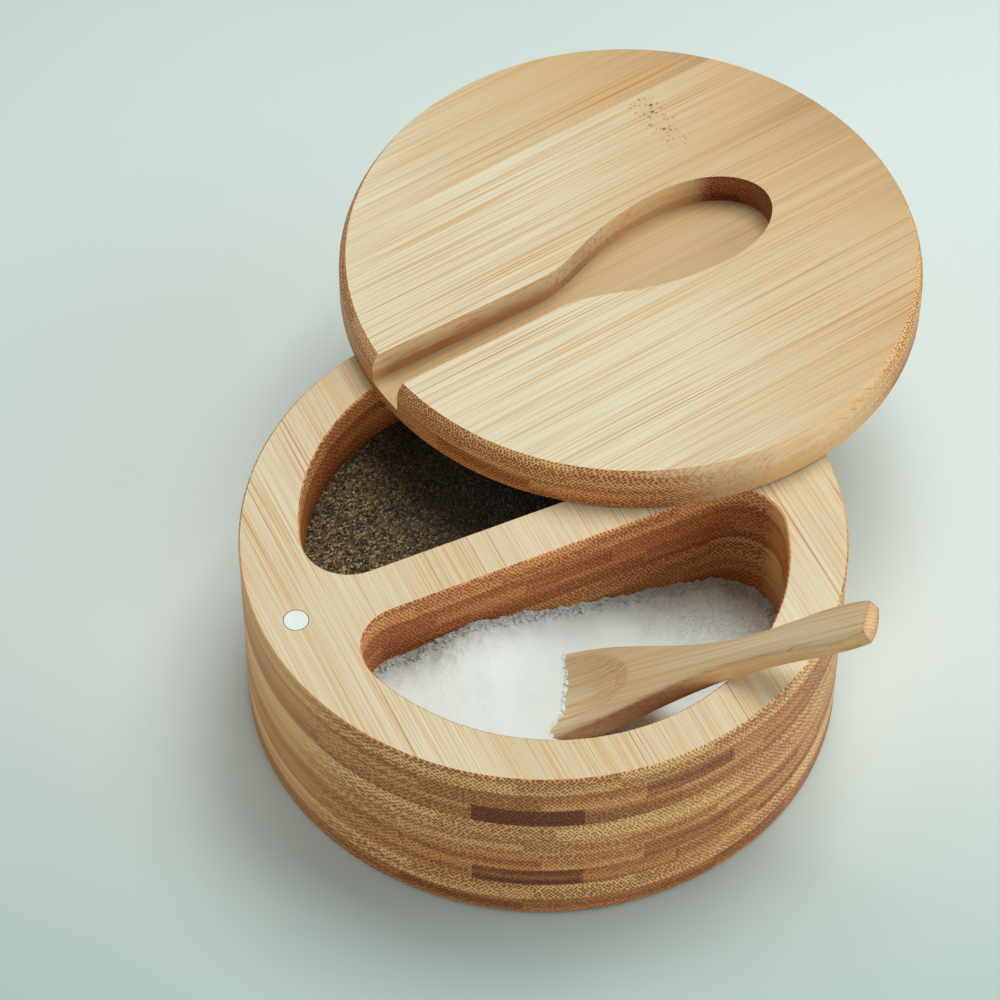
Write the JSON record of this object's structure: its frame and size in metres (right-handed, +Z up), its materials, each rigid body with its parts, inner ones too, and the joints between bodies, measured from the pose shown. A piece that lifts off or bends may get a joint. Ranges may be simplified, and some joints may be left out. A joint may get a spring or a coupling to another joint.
{
  "type": "salt box",
  "caption": "Round bamboo salt and pepper box with a swivelling lid, a magnetic catch, two half-round compartments and a small spoon with its own recess in the lid.",
  "frame": {"origin": "centre of the body's round base, on the surface it stands on", "axes": "+Z up; +X along the divider from the magnet to the lid's pivot; the salt compartment is at -Y and the pepper compartment at +Y"},
  "size_m": [0.1709, 0.1839, 0.0712],
  "materials": {
    "bamboo_light": "oiled, satin",
    "bamboo_mid": "oiled, satin",
    "bamboo_dark": "oiled, satin",
    "bamboo_spoon": "sanded, satin",
    "magnet_nickel": "bright nickel plate",
    "screw_steel": "zinc plated",
    "insert_brass": "machined",
    "glide_nylon": "plain",
    "salt": "coarse white crystals",
    "pepper": "ground, dry"
  },
  "bodies": {
    "base": {"body_board_1": "bamboo_dark", "body_board_2": "bamboo_light", "body_board_3": "bamboo_mid", "body_board_4": "bamboo_mid", "body_board_5": "bamboo_light", "body_board_6": "bamboo_light", "body_board_7": "bamboo_mid", "body_board_8": "bamboo_mid", "body_board_9": "bamboo_light", "body_magnet": "magnet_nickel", "glide_washer": "glide_nylon", "salt_fill": "salt", "pepper_fill": "pepper"},
    "lid": {"lid_lower_board": "bamboo_mid", "lid_upper_board": "bamboo_light", "lid_magnet": "magnet_nickel", "lid_insert": "insert_brass", "pivot_screw": "screw_steel", "head_washer": "screw_steel"},
    "spoon": {"spoon": "bamboo_spoon"}
  },
  "joints": [
    {"name": "lid_swivel", "type": "hinge", "parent": "base", "child": "lid", "pos_m": [0.055, 0, 0.047], "axis": [0, 0, 1], "range_deg": [0, 80.5]},
    {"name": "spoon_lift", "type": "slide", "parent": "base", "child": "spoon", "axis": [0, -0.4226, 0.9063], "range_m": [0, 0.0802]}
  ],
  "couplings": [
    {"joint": "spoon_lift", "follows": "lid_swivel", "m_per_rad": 0.05694}
  ]
}
